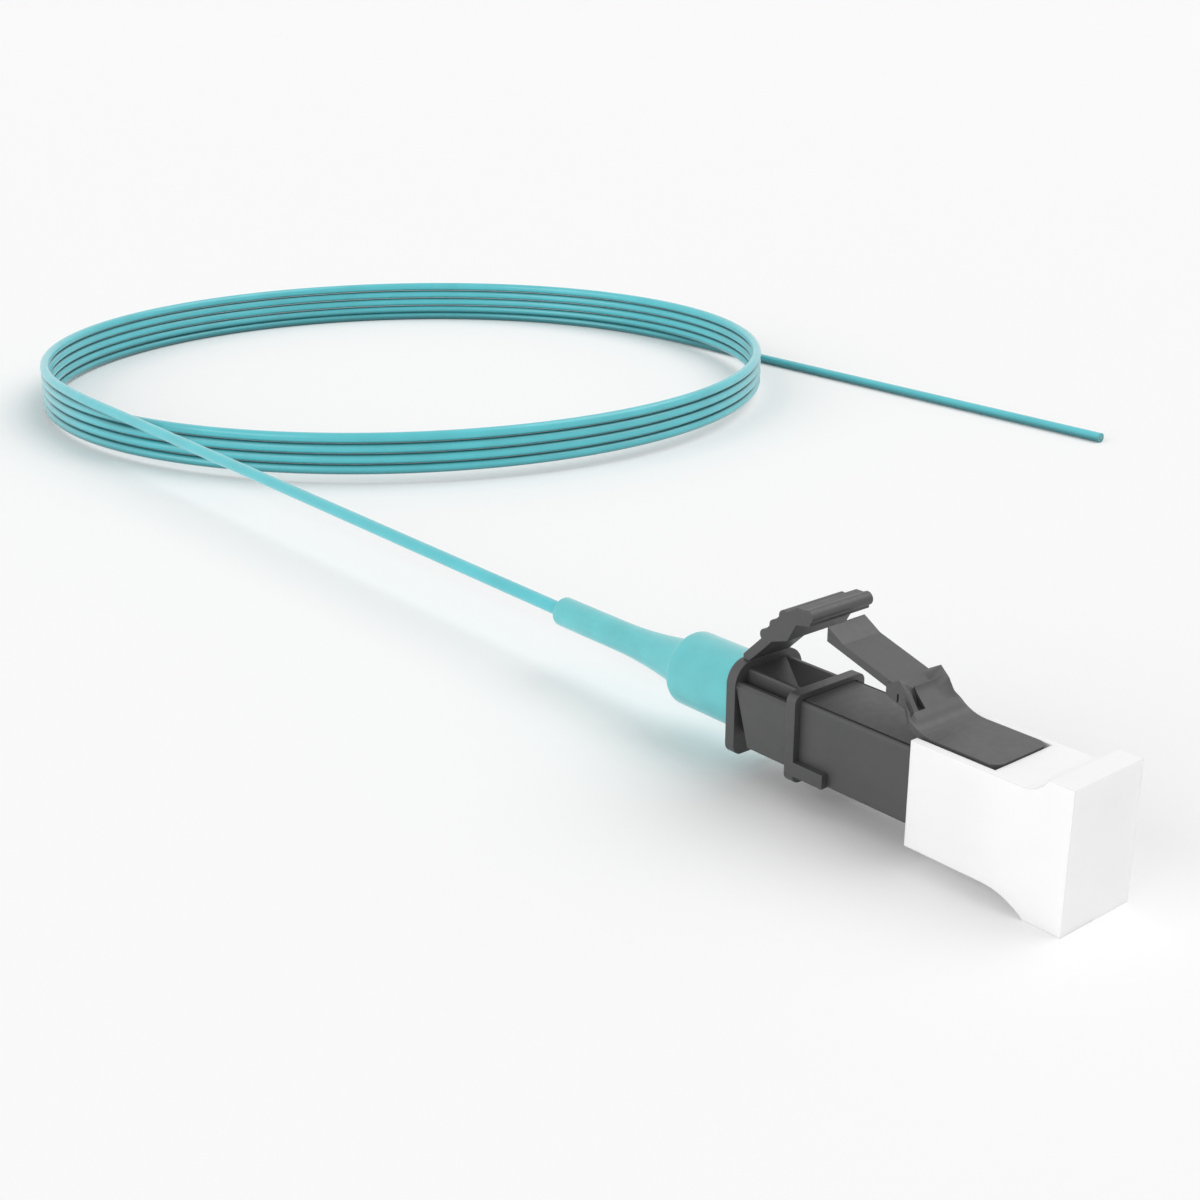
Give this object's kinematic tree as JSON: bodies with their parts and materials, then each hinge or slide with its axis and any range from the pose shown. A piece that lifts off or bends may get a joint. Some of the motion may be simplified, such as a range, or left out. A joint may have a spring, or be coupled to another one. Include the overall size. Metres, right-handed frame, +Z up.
{
  "type": "fibre pigtail",
  "caption": "Buffered fibre pigtail: a small latching optical plug with trigger clip, bend-relief boot and pull-off dust cap, on a coiled cord with a bare cut end.",
  "frame": {"origin": "on the floor, under the middle of the plug, which reaches from the boot's end to the dust cap's front", "axes": "+X along the plug's axis towards its front, +Y sideways towards the coil, +Z up"},
  "size_m": [0.1488, 0.0763, 0.0112],
  "materials": {
    "housing_plastic": "fine satin moulding",
    "clip_plastic": "fine satin moulding",
    "ferrule_ceramic": "polished",
    "flange_metal": "turned",
    "spring_steel": "drawn wire",
    "post_plastic": "satin",
    "boot_rubber": "soft matt",
    "cap_plastic": "smooth satin",
    "cord_jacket": "soft satin",
    "fibre_glass": "clear"
  },
  "bodies": {
    "base": {"plug_housing": "housing_plastic", "trigger_clip": "clip_plastic", "back_post": "post_plastic", "boot": "boot_rubber", "ferrule_spring": "spring_steel", "inner_lead": "cord_jacket", "cord_lead": "cord_jacket", "cord_coil": "cord_jacket", "cord_tail": "cord_jacket"},
    "latch": {"latch_arm": "housing_plastic"},
    "trigger": {"trigger_arm": "clip_plastic"},
    "cap": {"dust_cap": "cap_plastic"},
    "ferrule_unit": {"ferrule": "ferrule_ceramic", "ferrule_flange": "flange_metal", "bare_fibre": "fibre_glass"}
  },
  "joints": [
    {"name": "trigger_press", "type": "hinge", "parent": "base", "child": "trigger", "pos_m": [-0.00185, 0, 0.00676], "axis": [0, 1, 0], "range_deg": [0, 12], "stiffness_Nm_per_rad": 0.002},
    {"name": "latch_flex", "type": "hinge", "parent": "base", "child": "latch", "pos_m": [0.01139, 0, 0.00611], "axis": [0, -1, 0], "range_deg": [0, 10]},
    {"name": "cap_pull", "type": "slide", "parent": "base", "child": "cap", "axis": [1, 0, 0], "range_m": [0, 0.01]},
    {"name": "ferrule_float", "type": "slide", "parent": "base", "child": "ferrule_unit", "axis": [-1, 0, 0], "range_m": [0, 0.0008], "stiffness_N_per_m": 2500, "springref_m": -0.002, "deforming": ["ferrule_spring", "inner_lead"]}
  ],
  "couplings": [
    {"joint": "latch_flex", "follows": "trigger_press", "ratio": 0.7}
  ]
}
